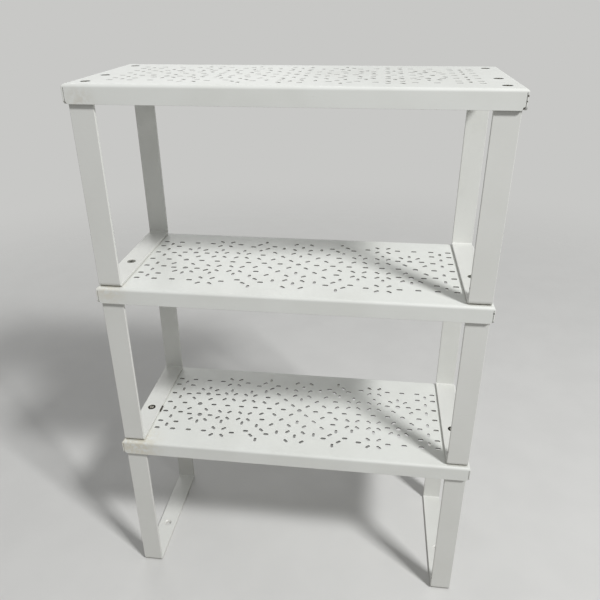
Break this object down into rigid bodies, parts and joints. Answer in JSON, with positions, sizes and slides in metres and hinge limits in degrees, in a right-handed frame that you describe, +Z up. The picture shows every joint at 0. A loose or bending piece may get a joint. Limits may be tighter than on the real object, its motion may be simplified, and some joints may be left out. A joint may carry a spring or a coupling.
{
  "type": "tiered shelf riser",
  "caption": "White powder-coated steel shelf riser: perforated folded trays on bent strip leg frames, stacked and screwed together into a free-standing tiered stand.",
  "frame": {"origin": "middle of the footprint, on the surface that the riser stands on", "axes": "+X to the right, +Y to the back, +Z up, seen from the front"},
  "size_m": [0.32, 0.13, 0.48],
  "materials": {
    "powder_coated_sheet": "white powder coating on folded sheet steel, slightly warm, satin, chipped at the corners",
    "powder_coated_strip": "white powder coating on flat strip steel, slightly warm, satin, scuffed at the edges",
    "nickel_screws": "dull nickel plating on flat-head machine screws, darkened in the recess"
  },
  "bodies": {
    "root": {"bottom_shelf_plate": "powder_coated_sheet", "bottom_left_leg_frame": "powder_coated_strip", "bottom_left_front_screw": "nickel_screws", "bottom_left_tie_screw": "nickel_screws", "bottom_left_rear_screw": "nickel_screws", "bottom_right_leg_frame": "powder_coated_strip", "bottom_right_front_screw": "nickel_screws", "bottom_right_tie_screw": "nickel_screws", "bottom_right_rear_screw": "nickel_screws", "middle_shelf_plate": "powder_coated_sheet", "middle_left_leg_frame": "powder_coated_strip", "middle_left_front_screw": "nickel_screws", "middle_left_tie_screw": "nickel_screws", "middle_left_rear_screw": "nickel_screws", "middle_right_leg_frame": "powder_coated_strip", "middle_right_front_screw": "nickel_screws", "middle_right_tie_screw": "nickel_screws", "middle_right_rear_screw": "nickel_screws", "top_shelf_plate": "powder_coated_sheet", "top_left_leg_frame": "powder_coated_strip", "top_left_front_screw": "nickel_screws", "top_left_centre_screw": "nickel_screws", "top_left_rear_screw": "nickel_screws", "top_right_leg_frame": "powder_coated_strip", "top_right_front_screw": "nickel_screws", "top_right_centre_screw": "nickel_screws", "top_right_rear_screw": "nickel_screws"}
  },
  "joints": []
}
